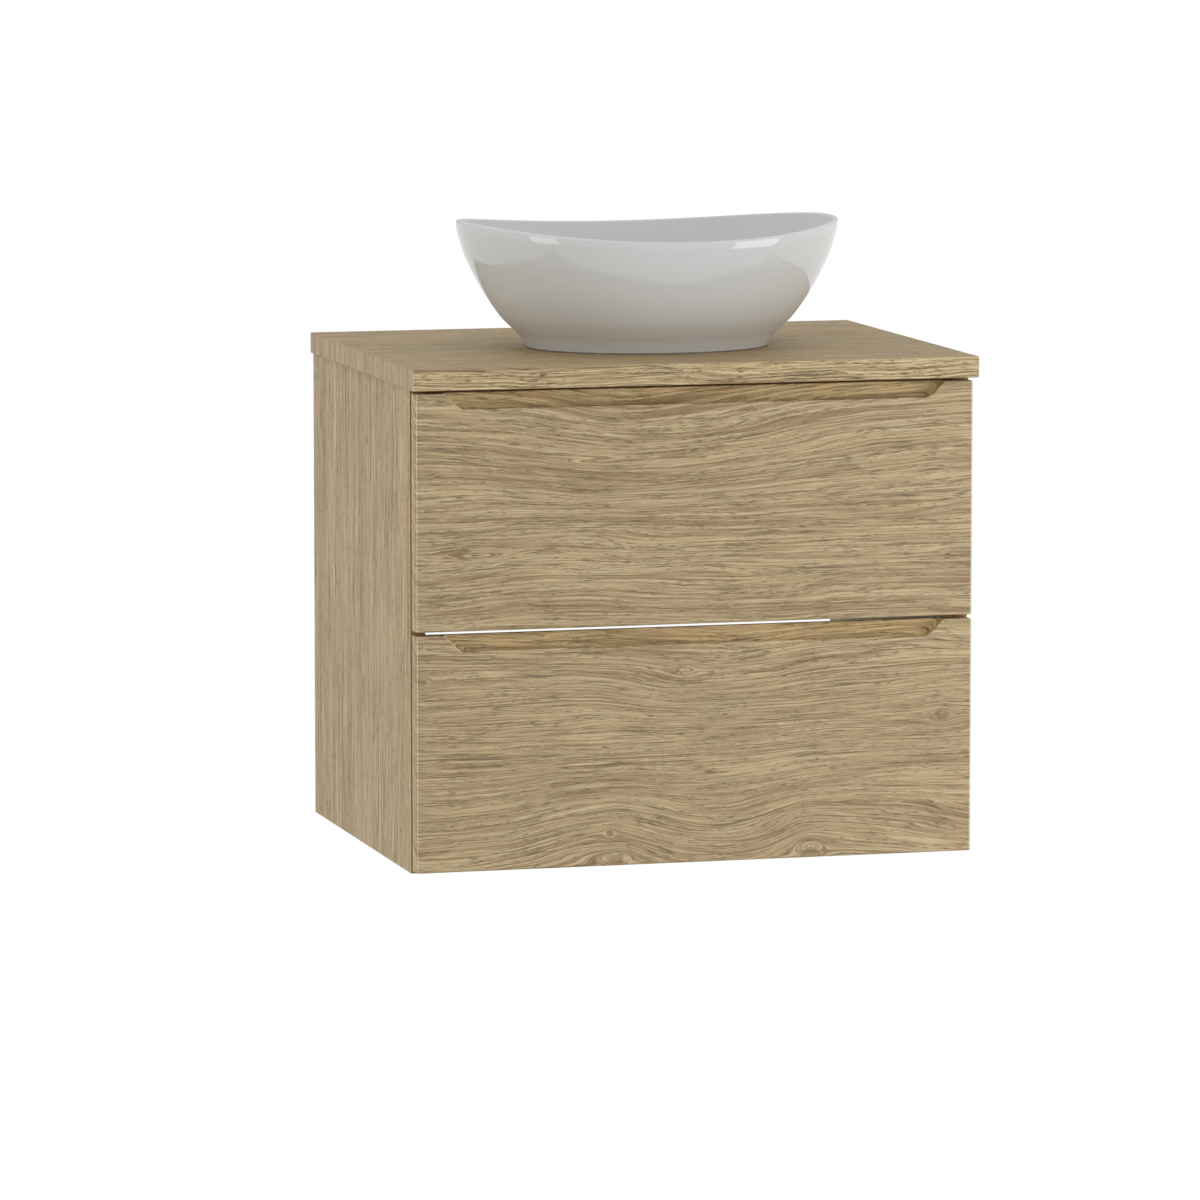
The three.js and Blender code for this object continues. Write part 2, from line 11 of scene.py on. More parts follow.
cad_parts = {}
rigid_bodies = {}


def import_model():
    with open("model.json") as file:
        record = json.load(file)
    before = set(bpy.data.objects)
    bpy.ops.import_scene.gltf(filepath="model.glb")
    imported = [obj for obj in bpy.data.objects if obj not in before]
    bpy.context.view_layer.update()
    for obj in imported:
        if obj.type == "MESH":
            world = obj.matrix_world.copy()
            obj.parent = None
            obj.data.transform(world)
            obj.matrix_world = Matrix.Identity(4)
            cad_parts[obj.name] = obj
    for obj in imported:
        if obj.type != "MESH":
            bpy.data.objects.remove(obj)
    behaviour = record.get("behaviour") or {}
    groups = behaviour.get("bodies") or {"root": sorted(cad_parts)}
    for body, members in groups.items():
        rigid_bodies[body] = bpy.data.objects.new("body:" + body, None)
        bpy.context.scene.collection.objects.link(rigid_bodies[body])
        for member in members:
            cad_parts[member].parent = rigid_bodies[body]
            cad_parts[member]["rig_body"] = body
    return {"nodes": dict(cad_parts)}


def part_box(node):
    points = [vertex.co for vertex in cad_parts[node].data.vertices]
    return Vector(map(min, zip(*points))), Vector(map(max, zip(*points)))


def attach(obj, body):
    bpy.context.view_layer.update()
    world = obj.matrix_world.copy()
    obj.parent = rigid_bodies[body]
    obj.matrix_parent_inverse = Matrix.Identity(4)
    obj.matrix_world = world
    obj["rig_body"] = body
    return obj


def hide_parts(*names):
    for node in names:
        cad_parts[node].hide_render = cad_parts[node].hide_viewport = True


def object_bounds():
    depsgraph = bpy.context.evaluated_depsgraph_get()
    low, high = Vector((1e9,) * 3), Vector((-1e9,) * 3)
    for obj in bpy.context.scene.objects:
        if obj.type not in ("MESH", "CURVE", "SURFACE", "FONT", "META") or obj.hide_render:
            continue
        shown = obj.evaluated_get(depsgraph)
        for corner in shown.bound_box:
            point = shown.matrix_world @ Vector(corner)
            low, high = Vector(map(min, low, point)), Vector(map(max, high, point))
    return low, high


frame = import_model()
cad_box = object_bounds()
MM = 0.001

# ------------------------------------------------------------------ camera
CAMERA_PLACE = Vector((-2.0517, -7.3938, 1.1922))
CAMERA_AZIMUTH = 15.206
CAMERA_TILT = 7.018
CAMERA_LENS = 220.3
CAMERA_SENSOR = 36
CAMERA_CLIP = 200


def make_camera():
    """The camera stands in front of the part, to its left and above it, with a long lens."""
    data = bpy.data.cameras.new("camera")
    data.lens = CAMERA_LENS
    data.sensor_width = CAMERA_SENSOR
    data.clip_end = CAMERA_CLIP
    camera = bpy.data.objects.new("camera", data)
    camera.location = CAMERA_PLACE
    camera.rotation_euler = (math.radians(90 - CAMERA_TILT), 0, math.radians(-CAMERA_AZIMUTH))
    bpy.context.scene.collection.objects.link(camera)
    bpy.context.scene.camera = camera


# ------------------------------------------------------------------ material building
def srgb(red, green, blue):
    """A colour in 0-255 display values, as the linear values that shaders take."""

    def linear(value):
        value /= 255
        return value / 12.92 if value <= 0.04045 else ((value + 0.055) / 1.055) ** 2.4

    return (linear(red), linear(green), linear(blue), 1.0)


class Graph:
    """A material's node tree, built by short calls that return sockets."""

    def __init__(self, name):
        self.material = bpy.data.materials.new(name)
        self.material.use_nodes = True
        self.nodes = self.material.node_tree.nodes
        self.links = self.material.node_tree.links
        self.shader = self.nodes["Principled BSDF"]

    def put(self, socket, value):
        """Links a socket's value to the socket, or sets a constant on it."""
        if isinstance(value, bpy.types.NodeSocket):
            self.links.new(value, socket)
        else:
            socket.default_value = value

    def set(self, **values):
        """Sets the shader's sockets, with _ for a space in their names."""
        for name, value in values.items():
            self.put(self.shader.inputs[name.replace("_", " ")], value)

    def math(self, operation, *values, clamp=False):
        node = self.nodes.new("ShaderNodeMath")
        node.operation = operation
        node.use_clamp = clamp
        for socket, value in zip(node.inputs, values):
            self.put(socket, value)
        return node.outputs[0]

    def position(self):
        """The point's own coordinates in millimetres, as {"x", "y", "z"}."""
        coordinates = self.nodes.new("ShaderNodeTexCoord")
        split = self.nodes.new("ShaderNodeSeparateXYZ")
        self.links.new(coordinates.outputs["Object"], split.inputs[0])
        return {a: self.math("MULTIPLY", split.outputs[a.upper()], 1 / MM) for a in "xyz"}

    def vector(self, x, y, z):
        node = self.nodes.new("ShaderNodeCombineXYZ")
        for socket, value in zip(node.inputs, (x, y, z)):
            self.put(socket, value)
        return node.outputs[0]

    def noise(self, vector, detail=2.0, roughness=0.5):
        node = self.nodes.new("ShaderNodeTexNoise")
        self.put(node.inputs["Vector"], vector)
        node.inputs["Scale"].default_value = 1
        node.inputs["Detail"].default_value = detail
        node.inputs["Roughness"].default_value = roughness
        return node.outputs["Fac"]

    def stretched(self, u, v, length, width, seed, detail=2.0, roughness=0.5):
        """Noise whose features are about length long along u and width wide along v."""
        across = self.math("DIVIDE", v, width)
        return self.noise(self.vector(self.math("DIVIDE", u, length), across, seed), detail, roughness)

    def clouds(self, place, size, detail):
        """Noise whose features are about size across in every direction."""
        return self.noise(self.vector(*(self.math("DIVIDE", place[a], size) for a in "xyz")), detail)

    def fade(self, value, low, high, to_low=0.0, to_high=1.0):
        """value's smooth step from low to high, as to_low to to_high."""
        node = self.nodes.new("ShaderNodeMapRange")
        node.interpolation_type = "SMOOTHSTEP"
        for socket, number in zip(node.inputs, (value, low, high, to_low, to_high)):
            self.put(socket, number)
        return node.outputs[0]

    def mix(self, factor, first, second, blend="MIX"):
        node = self.nodes.new("ShaderNodeMix")
        node.data_type = "RGBA"
        node.blend_type = blend
        self.put(node.inputs[0], factor)
        self.put(node.inputs[6], first)
        self.put(node.inputs[7], second)
        return node.outputs[2]

    def bump(self, height, distance, strength=1.0):
        node = self.nodes.new("ShaderNodeBump")
        node.inputs["Strength"].default_value = strength
        node.inputs["Distance"].default_value = distance
        self.put(node.inputs["Height"], height)
        self.links.new(node.outputs["Normal"], self.shader.inputs["Normal"])


# ------------------------------------------------------------------ oak
OAK_LIGHT = srgb(215, 194, 152)
OAK_DARK = srgb(153, 129, 95)
OAK_WARM = srgb(188, 161, 125)
OAK_PORE = srgb(104, 86, 66)
# Painted highlight: the lighter line where a rounded edge catches light.
OAK_HIGHLIGHT = srgb(244, 236, 214)
# Painted shade: the side panels' front edges in the gaps beside the drawer fronts.
OAK_GAP_SHADE = srgb(158, 128, 80)
# Painted shade: the cabinet bottom's and top rail's front faces in the gaps.
OAK_SHADE = srgb(104, 74, 14)
SLANT = -0.9  # how fast the grain climbs with depth, so that end faces show slanting strokes
DEPTH_SHIFT = 0.6  # how far the grain runs on with depth
# Each layer of the decor: its features' length and width, noise detail, weight, and what scales the weight.
OAK_LAYERS = (
    (280, 17, 1, 0.5, "broad"),
    (220, 4.5, 2, 0.4, "broad"),
    (170, 1.6, 1, 2.5, "contrast"),
    (34, 0.95, 2, 2.1, "contrast"),
)


def bent(g, u, v, flow, bends):
    """The flow, raised or lowered round each bend: (place along, half widths to its left and right, rise,
    place across, half height)."""
    for bend_u, left, right, rise, bend_v, half_height in bends:
        du = g.math("SUBTRACT", u, bend_u)
        near = g.math("DIVIDE", du, g.fade(du, -20, 20, left, right))
        dv = g.math("DIVIDE", g.math("SUBTRACT", v, bend_v), half_height)
        distance2 = g.math("ADD", g.math("MULTIPLY", near, near), g.math("MULTIPLY", dv, dv))
        bell = g.math("EXPONENT", g.math("MULTIPLY", distance2, -1.0))
        flow = g.math("MULTIPLY_ADD", bell, -rise, flow)
    return flow


def knotted(g, u, v, flow, knots):
    """The flow, parted round each knot (place along, place across, radius, stretch), and how near one is."""
    near = 0.0
    for knot_u, knot_v, radius, stretch in knots:
        du = g.math("DIVIDE", g.math("SUBTRACT", u, knot_u), stretch)
        dv = g.math("SUBTRACT", v, knot_v)
        distance2 = g.math("ADD", g.math("MULTIPLY", du, du), g.math("MULTIPLY", dv, dv))
        pull = g.math("DIVIDE", radius * radius, g.math("ADD", distance2, 0.3 * radius * radius))
        flow = g.math("SUBTRACT", flow, g.math("MULTIPLY", dv, pull))
        if stretch < 2:
            near = g.math("MAXIMUM", near, g.fade(distance2, 0.0, 0.5 * radius * radius, 1.0, 0.0))
    return flow, near


def layered_tone(g, u, flow, seed, scales):
    """The sum of the decor's layers, about 0.5, from dark to light."""
    tone = 0.5
    for length, width, detail, weight, scale in OAK_LAYERS:
        layer = g.math("SUBTRACT", g.stretched(u, flow, length, width, seed + 5 * width, detail, 0.6), 0.5)
        tone = g.math("MULTIPLY_ADD", layer, weight * scales[scale], tone)
    return tone


def dark_strokes(g, u, flow, seed):
    """How dark the broken veins and crowded pores are that run along the flow, and the pores' own noise."""
    lines = g.stretched(u, flow, 190, 6.5, seed + 31.1, 2, 0.5)
    thin = g.fade(g.math("ABSOLUTE", g.math("SUBTRACT", lines, 0.5)), 0.0, 0.02, 1.0, 0.0)
    broken = g.fade(g.stretched(u, flow, 60, 7, seed + 61.7, 2), 0.44, 0.56)
    vein = g.math("MULTIPLY", thin, broken)
    crowd = g.fade(g.stretched(u, flow, 70, 6, seed + 71.9, 2), 0.36, 0.62, 0.67, 0.545)
    pores = g.stretched(u, flow, 11, 0.85, seed + 41.9, 2, 0.6)
    pore = g.fade(g.math("SUBTRACT", pores, crowd), 0.0, 0.07)
    return g.math("MAXIMUM", vein, g.math("MULTIPLY", pore, 0.9)), pores


def edge_highlight(g, place, edges):
    """Where the point is close to an edge, and so gets the painted highlight, each edge given as (axis,
    value, axis, value, reach).
    """
    mask = 0.0
    for first, first_at, second, second_at, reach in edges:
        near = []
        for axis, at in ((first, first_at), (second, second_at)):
            gap = g.math("ABSOLUTE", g.math("SUBTRACT", place[axis], at))
            near.append(g.fade(gap, 0.5 * reach, reach, 1.0, 0.0))
        mask = g.math("MAXIMUM", mask, g.math("MULTIPLY", *near))
    return mask


def slope_highlight(g, place, slopes):
    """Where the point is on the face just outside a sloping edge, and so gets the painted highlight, given by
    the x and z of its upper end, its length along each axis and the depth of the face."""
    mask = 0.0
    for x, z, reach, face in slopes:
        down = g.math("SUBTRACT", z, place["z"])
        inward = g.math("SUBTRACT", place["x"], x)
        across = g.math("SUBTRACT", down, inward)
        near = g.math("MULTIPLY", g.fade(across, 0.5, 1.5, 1.0, 0.0), g.fade(across, -1.0, -0.3))
        near = g.math("MULTIPLY", near, g.fade(inward, reach - 1, reach + 0.5, 1.0, 0.0))
        near = g.math("MULTIPLY", near, g.fade(inward, -1.0, 0.5))
        shallow = g.fade(g.math("SUBTRACT", place["y"], face), 0.9, 1.6, 1.0, 0.0)
        mask = g.math("MAXIMUM", mask, g.math("MULTIPLY", near, shallow))
    return mask


def oak(
    name,
    axes,
    at,
    seed,
    knots=(),
    bends=(),
    contrast=1.0,
    broad=1.0,
    edges=(),
    slopes=(),
    painted_shade_face=(),
    pocket_light=(1, 1, 1),
    gain=(1, 1, 1),
):
    """Oak decor for a face. axes names the grain's direction, the direction across it and the one through the
    face, and at is the face's place. Every layer is noise laid along the grain's flow lines, which part round
    the knots and follow the bends. A painted highlight lightens the edges and slopes, and painted shade
    covers one face given as (axis, value, colour). gain tints it all, and pocket_light adds painted light to
    what lies
    8 mm or more behind the face."""
    along, across, through = axes
    g = Graph(name)
    place = g.position()
    depth = g.math("SUBTRACT", place[through], at)
    u = g.math("MULTIPLY_ADD", depth, DEPTH_SHIFT, place[along])
    v = g.math("MULTIPLY_ADD", depth, SLANT, place[across])
    sway = g.math("SUBTRACT", g.stretched(u, v, 170, 40, seed, 1), 0.5)
    ripple = g.math("SUBTRACT", g.stretched(u, v, 32, 9, seed + 3.1, 2), 0.5)
    flow = g.math("MULTIPLY_ADD", sway, 15, v)
    flow = g.math("MULTIPLY_ADD", ripple, 1.9, flow)
    flow = bent(g, u, v, flow, bends)
    flow, knot = knotted(g, u, v, flow, knots)

    tone = layered_tone(g, u, flow, seed, {"broad": broad, "contrast": contrast})
    tone = g.math("MULTIPLY_ADD", knot, -0.45, tone)
    colour = g.mix(g.math("MULTIPLY", tone, 1.0, clamp=True), OAK_DARK, OAK_LIGHT)
    warmth = g.stretched(u, v, 45, 14, seed + 53.3, 3)
    colour = g.mix(g.fade(warmth, 0.5, 0.72, 0.0, 0.3), colour, OAK_WARM)
    dark, pores = dark_strokes(g, u, flow, seed)
    colour = g.mix(g.math("MULTIPLY", dark, 0.7 * contrast, clamp=True), colour, OAK_PORE)

    # Painted highlight along the rounded edges and the finger pull's left slope.
    if edges:
        painted_highlight = g.math("MAXIMUM", edge_highlight(g, place, edges), slope_highlight(g, place, slopes))
        colour = g.mix(g.math("MULTIPLY", painted_highlight, 0.55), colour, OAK_HIGHLIGHT)
    # Painted shade over one face that lies in a gap.
    if painted_shade_face:
        gap = g.math("ABSOLUTE", g.math("SUBTRACT", place[painted_shade_face[0]], painted_shade_face[1]))
        colour = g.mix(g.fade(gap, 0.05, 0.5, 1.0, 0.0), colour, painted_shade_face[2])
    # Painted light: the finger pull's recess lighter and warmer from 4 to 8 mm behind the face onwards.
    if pocket_light != (1, 1, 1):
        colour = g.mix(g.fade(depth, 4, 8), colour, g.mix(1.0, colour, (*pocket_light, 1.0), "MULTIPLY"))
    if gain != (1, 1, 1):
        colour = g.mix(1.0, colour, (*gain, 1.0), "MULTIPLY")
    g.set(Base_Color=colour, Roughness=g.fade(pores, 0.3, 0.7, 0.5, 0.62), IOR=1.45)
    raised = g.math("SUBTRACT", g.math("MULTIPLY", tone, 0.6), dark)
    g.bump(raised, 0.00025, 0.8 * contrast)
    return g.material


# ------------------------------------------------------------------ the other finishes
def speckled(name, colour, roughness, grain=1.2, relief=0.00003, metallic=0.0, spread=0.08, tone=0.025):
    """A moulded, coated or plated surface: fine grain in its relief, and slow change in tone and gloss."""
    g = Graph(name)
    place = g.position()
    fine = g.clouds(place, grain, 2)
    slow = g.clouds(place, 60, 3)
    darker = tuple(c * (1 - 2 * tone) for c in colour[:3]) + (1.0,)
    g.set(Base_Color=g.mix(g.fade(slow, 0.3, 0.7), colour, darker), Metallic=metallic)
    g.set(Roughness=g.fade(slow, 0.3, 0.7, roughness - spread / 2, roughness + spread / 2))
    g.bump(fine, relief)
    return g.material


def glaze(name):
    """White glazed ceramic, smooth enough to mirror, with the faint waviness of fired glaze."""
    g = Graph(name)
    place = g.position()
    waves = g.clouds(place, 35, 1)
    tone = g.clouds(place, 90, 2)
    g.set(Base_Color=g.mix(tone, srgb(222, 223, 223), srgb(219, 220, 220)))
    g.set(Roughness=g.fade(tone, 0.3, 0.7, 0.012, 0.022), IOR=1.52)
    g.bump(waves, 0.0001, 0.12)
    return g.material


def brushed(name, colour, roughness, along):
    """Rolled and plated sheet steel, with fine lines along one axis."""
    g = Graph(name)
    place = g.position()
    scales = {a: (40 if a == along else 0.5) for a in "xyz"}
    lines = g.noise(g.vector(*(g.math("DIVIDE", place[a], scales[a]) for a in "xyz")), 2)
    darker = tuple(c * 0.88 for c in colour[:3]) + (1.0,)
    g.set(Base_Color=g.mix(g.fade(g.clouds(place, 18, 3), 0.3, 0.7), colour, darker), Metallic=1.0)
    g.set(Roughness=g.fade(lines, 0.3, 0.7, roughness - 0.06, roughness + 0.08))
    g.bump(lines, 0.00002)
    return g.material


# ------------------------------------------------------------------ all the finishes
# Painted light that lightens and warms the finger pull's recess.
GRIP_PAINTED_LIGHT = (1.18, 1.13, 1.0)
# Painted shade that darkens the worktop's top, blue most of all.
TOP_PAINTED_SHADE = (0.87, 0.85, 0.765)
TOP_FRONT_TINT = (1.13, 1.13, 1.1)
SIDE_TINT = (1.04, 1.025, 1.01)
# Knots: place along x, height above the front's foot, radius, stretch.
LOWER_KNOTS = (
    (-85, 4, 7, 1.9),
    (-92, 34, 5, 1.4),
    (-80, 50, 2.5, 1.4),
    (123, 7, 8, 1.5),
    (264, 143, 8, 1.7),
    (-291, 197, 6, 1.8),
    (-12, 198, 4, 2.4),
)
UPPER_KNOTS = ((-225, 80, 7, 6.0), (-112, 172, 5, 8.0))
# Bends: place along x, half widths to its left and right, rise, height above the foot, half height.
LOWER_BENDS = (
    (-90, 95, 62, 26, 36, 50),
    (125, 55, 130, 22, 36, 44),
    (320, 260, 90, 22, 95, 46),
    (-20, 60, 200, -16, 190, 40),
)
UPPER_BENDS = (
    (-66, 120, 165, -25, 196, 58),
    (-150, 110, 90, 12, 50, 40),
    (310, 160, 90, 16, 165, 50),
)


def front_oak(level, seed, knots, bends):
    """A drawer front's decor, with a painted highlight along its two ends and the finger pull's left slope,
    and painted light in the pull's recess.
    """
    low, high = (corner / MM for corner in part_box(f"{level}_drawer_front"))
    face = low.y
    return oak(
        f"oak_{level}_front",
        "xzy",
        face,
        seed,
        [(x, low.z + rise, *rest) for x, rise, *rest in knots],
        [(*ahead, low.z + rise, half_height) for *ahead, rise, half_height in bends],
        edges=(("x", 1.6 - high.x, "y", face, 0.6), ("x", high.x - 0.8, "y", face, 1.3)),
        slopes=((-GRIP_HALF_TOP, high.z, GRIP_DROP, face),),
        pocket_light=GRIP_PAINTED_LIGHT,
    )


def make_materials():
    """All the finishes, by name."""
    top_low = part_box("worktop")[0] / MM
    # Painted highlight along the worktop's front left corner.
    top_highlight_edges = (("x", top_low.x, "y", top_low.y, 0.9),)
    side_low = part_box("side_panel_left")[0] / MM
    wall_face = cad_box[1].y / MM
    # Painted highlights along the side panel's back and front outer corners.
    side_highlight_edges = (("x", side_low.x, "y", wall_face, 1.6), ("x", side_low.x, "y", side_low.y, 1.2))
    # Painted shade over the carcass front edges seen through the gaps.
    side_gap_shade, shaded = (("y", side_low.y, colour) for colour in (OAK_GAP_SHADE, OAK_SHADE))
    return {
        "oak_lower_front": front_oak("lower", 2.0, LOWER_KNOTS, LOWER_BENDS),
        "oak_upper_front": front_oak("upper", 7.4, UPPER_KNOTS, UPPER_BENDS),
        "oak_top": oak("oak_top", "xyz", 0, 13.7, contrast=0.85, broad=0.65, edges=top_highlight_edges, gain=TOP_PAINTED_SHADE),
        "oak_top_front": oak(
            "oak_top_front", "xzy", 0, 17.9, contrast=1.4, broad=1.5, edges=top_highlight_edges, gain=TOP_FRONT_TINT
        ),
        "oak_top_end": oak("oak_top_end", "zyx", 0, 19.3, contrast=0.95, broad=1.2, edges=top_highlight_edges),
        "oak_side": oak(
            "oak_side",
            "zyx",
            0,
            26.1,
            contrast=1.2,
            broad=2.3,
            edges=side_highlight_edges,
            painted_shade_face=side_gap_shade,
            gain=SIDE_TINT,
        ),
        "oak_cross": oak("oak_cross", "xzy", 0, 33.5, contrast=0.6),
        "oak_floor": oak("oak_floor", "xyz", 0, 38.5, contrast=0.6, painted_shade_face=shaded),
        "white_board": speckled("white_board", srgb(232, 231, 227), 0.5, 0.9, 0.00004),
        "grey_steel": speckled("grey_steel", srgb(186, 189, 191), 0.42, 0.6, 0.00004),
        "zinc_steel": brushed("zinc_steel", srgb(176, 179, 182), 0.34, "y"),
        "rail_steel": brushed("rail_steel", srgb(176, 179, 182), 0.34, "x"),
        "chrome": speckled("chrome", srgb(222, 224, 226), 0.07, 3, 0.000004, 1.0, 0.03, 0.01),
        "white_plastic": speckled("white_plastic", srgb(228, 229, 228), 0.38, 0.8, 0.00003),
        "grey_plastic": speckled("grey_plastic", srgb(136, 139, 141), 0.45, 0.7, 0.00004),
        "rubber": speckled("rubber", srgb(46, 46, 46), 0.75, 0.6, 0.00004),
        "silicone": speckled("silicone", srgb(150, 147, 140), 0.4, 4, 0.00003),
        "glaze": glaze("glaze"),
    }


# ------------------------------------------------------------------ mesh building
def round_corners(points, radius, steps=4):
    """The closed 2-D outline with each corner replaced by an arc, as large as radius and the sides allow."""
    points = [Vector(p) for p in points]
    made = []
    for i, corner in enumerate(points):
        before, after = points[i - 1] - corner, points[(i + 1) % len(points)] - corner
        half = before.angle(after) / 2
        if half > math.radians(88):
            made.append(corner)
            continue
        reach = min(radius / math.tan(half), before.length * 0.48, after.length * 0.48)
        start, end = corner + before.normalized() * reach, corner + after.normalized() * reach
        for k in range(steps + 1):
            t = k / steps
            weight = 2 * t * (1 - t) * (math.sin(half) * 0.25 + 0.9)
            share = (1 - t) ** 2 + weight + t**2
            made.append(((1 - t) ** 2 * start + weight * corner + t**2 * end) / share)
    return [tuple(p) for p in made]


def link_piece(name, mesh, material):
    """A new object in the scene with the mesh and its material or materials."""
    piece = bpy.data.objects.new(name, mesh)
    bpy.context.scene.collection.objects.link(piece)
    for one in material if isinstance(material, (list, tuple)) else [material]:
        mesh.materials.append(one)
    return piece


def link_mesh(name, vertices, faces, material, smooth_angle=38):
    """A new piece from vertices in metres and faces, with smooth shading except at sharp edges."""
    mesh = bpy.data.meshes.new(name)
    mesh.from_pydata([tuple(v) for v in vertices], [], faces)
    bm = bmesh.new()
    bm.from_mesh(mesh)
    bmesh.ops.recalc_face_normals(bm, faces=bm.faces)
    limit = math.radians(smooth_angle)
    for face in bm.faces:
        face.smooth = True
    for edge in bm.edges:
        edge.smooth = not (edge.is_manifold and edge.calc_face_angle(0) > limit)
    bm.to_mesh(mesh)
    bm.free()
    return link_piece(name, mesh, material)


def weigh_normals(piece):
    """Keeps the shading of large faces flat beside their rounded edges."""
    modifier = piece.modifiers.new("flat faces stay flat", "WEIGHTED_NORMAL")
    modifier.keep_sharp = True
    modifier.weight = 100


def stand_for(piece, node):
    """The piece takes a CAD node's place, on that node's body."""
    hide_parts(node)
    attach(piece, frame["nodes"][node]["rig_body"])
    return piece


def add_to(piece, body):
    """The piece is added to a body, beside its CAD nodes."""
    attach(piece, body)
    return piece


def loops_to_mesh(loops, cap_ends=False, close=False):
    """Vertices and faces of a skin over loops that have the same number of points."""
    count = len(loops[0])
    vertices = [p for loop in loops for p in loop]
    faces = []
    rows = len(loops) if close else len(loops) - 1
    for i in range(rows):
        j = (i + 1) % len(loops)
        for k in range(count):
            n = (k + 1) % count
            faces.append((i * count + k, i * count + n, j * count + n, j * count + k))
    if cap_ends:
        faces.append(tuple(range(count)))
        last = (len(loops) - 1) * count
        faces.append(tuple(last + k for k in range(count)))
    return vertices, faces


def board_mesh(name, low, high, material, edge=0.8 * MM, axis_slots=()):
    """A panel with softened edges. axis_slots lists (axis, material index) for the faces across an axis."""
    bm = bmesh.new()
    bmesh.ops.create_cube(bm, size=1)
    size, middle = high - low, (low + high) / 2
    for vertex in bm.verts:
        vertex.co = Vector(c * s + m for c, s, m in zip(vertex.co, size, middle))
    bmesh.ops.bevel(bm, geom=bm.edges[:], offset=edge, segments=3, profile=0.5, affect="EDGES")
    mesh = bpy.data.meshes.new(name)
    for face in bm.faces:
        face.smooth = True
        for axis, index in axis_slots:
            if abs(face.normal[axis]) > 0.75:
                face.material_index = index
    bm.to_mesh(mesh)
    bm.free()
    piece = link_piece(name, mesh, material)
    weigh_normals(piece)
    return piece


def board(node, material, edge=0.8 * MM):
    """A softened panel in a rectangular CAD node's place."""
    low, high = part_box(node)
    return stand_for(board_mesh(f"{node}_board", low, high, material, edge), node)


def dress(node, material, edge=0.3 * MM):
    """A CAD node keeps its shape and gets its finish, with slightly rounded edges."""
    piece = frame["nodes"][node]
    piece.data.materials.clear()
    piece.data.materials.append(material)
    weld = piece.modifiers.new("join the facets", "WELD")
    weld.merge_threshold = 0.02 * MM
    if edge:
        bevel = piece.modifiers.new("soft edges", "BEVEL")
        bevel.width = edge
        bevel.segments = 2
        bevel.limit_method = "ANGLE"
        bevel.angle_limit = math.radians(40)
    return piece


def turned(name, profile, material, place, axis="Z", segments=64, smooth_angle=38):
    """A closed profile of (radius, height), in millimetres, turned about an axis through place."""
    to_axis = {"Z": Matrix.Identity(3), "Y": Matrix.Rotation(-math.pi / 2, 3, "X")}[axis]
    vertices, faces, rings = [], [], []
    for radius, height in profile:
        on_axis = radius < 1e-6
        ring = []
        for k in range(1 if on_axis else segments):
            a = 2 * math.pi * k / segments
            point = Vector((radius * math.cos(a), radius * math.sin(a), height)) * MM
            ring.append(len(vertices))
            vertices.append(place + to_axis @ point)
        rings.append(ring)
    closed = profile[0][0] > 1e-6
    pairs = list(zip(rings, rings[1:])) + ([(rings[-1], rings[0])] if closed else [])
    for lower, upper in pairs:
        for k in range(segments):
            n = (k + 1) % segments
            corners = [lower[k % len(lower)], lower[n % len(lower)]]
            corners += [upper[n % len(upper)], upper[k % len(upper)]]
            corners = list(dict.fromkeys(corners))
            if len(corners) > 2:
                faces.append(tuple(corners))
    return link_mesh(name, vertices, faces, material, smooth_angle)


# ------------------------------------------------------------------ carcass
WORKTOP_HOLE = 30  # the hole's radius
DRILL_LOW, DRILL_HIGH = -20, 40  # what the drill cuts, from the gasket downwards and upwards


def build_carcass(m):
    """The side panels, bottom, rails and worktop."""
    for side in ("left", "right"):
        board(f"side_panel_{side}", m["oak_side"], edge=0.6 * MM)
    board("bottom_panel", m["oak_floor"])
    board("front_top_rail", m["oak_floor"])
    board("rear_bottom_rail", m["oak_cross"])
    dress("rear_top_rail", m["oak_cross"], 0.6 * MM)
    build_worktop(m)


def build_worktop(m):
    """The worktop with its softened edges and the hole that the waste passes through."""
    low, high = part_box("worktop")
    finishes = [m["oak_top"], m["oak_top_end"], m["oak_top_front"]]
    piece = board_mesh("worktop_board", low, high, finishes, 1.0 * MM, ((0, 1), (1, 2)))
    gasket_low, gasket_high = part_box("waste_gasket")
    centre = (gasket_low + gasket_high) / 2
    shape = [(0, DRILL_LOW), (WORKTOP_HOLE, DRILL_LOW), (WORKTOP_HOLE, DRILL_HIGH), (0, DRILL_HIGH)]
    drill = turned("drill", shape, m["oak_top"], centre)
    hole = piece.modifiers.new("waste hole", "BOOLEAN")
    hole.operation, hole.solver, hole.object = "DIFFERENCE", "EXACT", drill
    piece.modifiers.move(1, 0)  # the hole is cut first
    settle(piece)
    bpy.data.objects.remove(drill)
    weigh_normals(piece)
    stand_for(piece, "worktop")


def settle(piece):
    """Makes the piece's modifiers part of its mesh."""
    depsgraph = bpy.context.evaluated_depsgraph_get()
    mesh = bpy.data.meshes.new_from_object(piece.evaluated_get(depsgraph))
    piece.modifiers.clear()
    piece.data = mesh


# ------------------------------------------------------------------ drawer fronts
GRIP_HALF_TOP = 265.5  # the finger pull's half length at the top edge; its ends slope at 45 degrees
GRIP_DROP = 16.5
GRIP_POCKET = 12.0  # how far it reaches behind the face
GRIP_LIP = 4.5
GRIP_GROOVE = 9.0
GRIP_COVE = 6.0
GRIP_BLEND = 5.0  # how far each side of its lower corners the rounding reaches
GRIP_WALL_EDGE = 0.8
GROOVE_RUN_OUT = 7
FRONT_EDGE = 2.2
LIP_EDGE = 0.9
# Steps between sections: down the slope, round its lower corner, and along the plain middle.
SLOPE_STEP, CORNER_STEP, PLAIN_STEP = 1.1, 0.83, 23


def smooth_step(share):
    """0 below 0, 1 above 1, and an S curve between."""
    share = min(1.0, max(0.0, share))
    return share * share * (3 - 2 * share)


